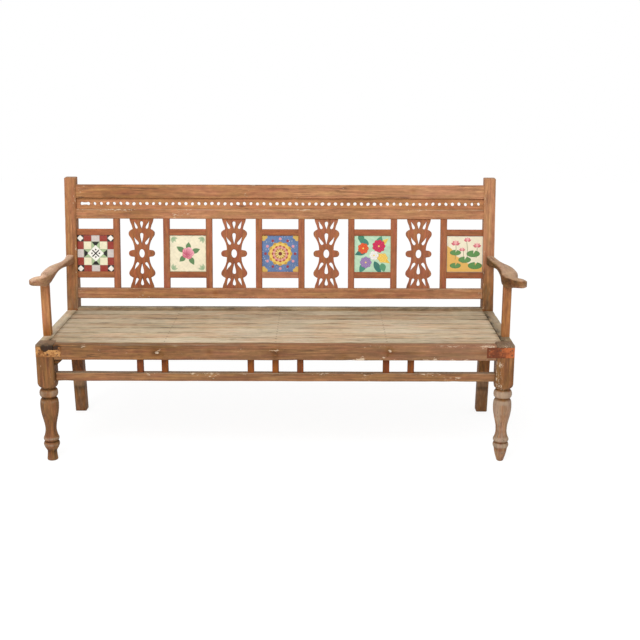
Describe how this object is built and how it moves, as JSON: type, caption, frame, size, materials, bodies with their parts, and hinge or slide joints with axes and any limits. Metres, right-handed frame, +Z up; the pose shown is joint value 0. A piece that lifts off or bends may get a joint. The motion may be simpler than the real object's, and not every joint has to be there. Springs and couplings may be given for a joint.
{
  "type": "garden bench",
  "caption": "Long teak garden bench with a slatted seat, a leaning back of pierced splats and glazed tiles, swept arms, turned front legs and metal corner plates.",
  "frame": {"origin": "on the floor under the middle of the bench's bounding box", "axes": "+X along the bench to a sitter's left hand, which is the right side seen from the front, +Y to the back, +Z up"},
  "size_m": [1.8094, 0.6468, 0.99],
  "materials": {
    "teak_brown": "dry, lightly weathered",
    "teak_russet": "dry, reddish",
    "teak_amber": "dry, orange-brown",
    "teak_grey": "weathered grey-tan",
    "tile_patchwork": "matt, with geometric inlay",
    "tile_rose": "glossy, with a painted rose",
    "tile_rosette": "glossy, with a golden rosette",
    "tile_blooms": "glossy, with painted flowers",
    "tile_pond": "glossy, with painted pond flowers",
    "plate_brass": "worn, torn sheet",
    "plate_copper": "worn sheet",
    "nail_iron": "rusted",
    "peg_teak": "dark end grain"
  },
  "bodies": {
    "root": {"back_post_left": "teak_brown", "back_post_right": "teak_brown", "top_rail": "teak_brown", "middle_rail": "teak_brown", "lower_back_rail": "teak_brown", "front_seat_rail": "teak_brown", "rear_seat_rail": "teak_brown", "seat_bearer_left": "teak_brown", "seat_bearer_middle": "teak_brown", "seat_bearer_right": "teak_brown", "front_stretcher": "teak_brown", "stretcher_spindles": "teak_brown", "knee_block": "teak_brown", "muntin_1": "teak_russet", "muntin_2": "teak_russet", "muntin_3": "teak_russet", "muntin_4": "teak_russet", "muntin_5": "teak_russet", "muntin_6": "teak_russet", "muntin_7": "teak_russet", "muntin_8": "teak_russet", "splat_1": "teak_russet", "splat_2": "teak_russet", "splat_3": "teak_russet", "splat_4": "teak_russet", "tile_head_1": "teak_russet", "tile_head_2": "teak_russet", "tile_head_3": "teak_russet", "tile_head_4": "teak_russet", "tile_head_5": "teak_russet", "tile_sill_1": "teak_russet", "tile_sill_2": "teak_russet", "tile_sill_3": "teak_russet", "tile_sill_4": "teak_russet", "tile_sill_5": "teak_russet", "pierced_strip": "teak_amber", "arm_support_left": "teak_amber", "arm_support_right": "teak_amber", "front_leg_left": "teak_grey", "front_leg_right": "teak_grey", "side_seat_rail_left": "teak_grey", "side_seat_rail_right": "teak_grey", "arm_left": "teak_grey", "arm_right": "teak_grey", "seat_slat_1": "teak_grey", "seat_slat_2": "teak_grey", "seat_slat_3": "teak_grey", "seat_slat_4": "teak_grey", "seat_slat_5": "teak_grey", "seat_slat_6": "teak_grey", "seat_slat_7": "teak_grey", "tile_1": "tile_patchwork", "tile_2": "tile_rose", "tile_3": "tile_rosette", "tile_4": "tile_blooms", "tile_5": "tile_pond", "corner_plate_brass": "plate_brass", "corner_plate_copper": "plate_copper", "nails": "nail_iron", "bearer_pegs": "peg_teak"}
  },
  "joints": []
}
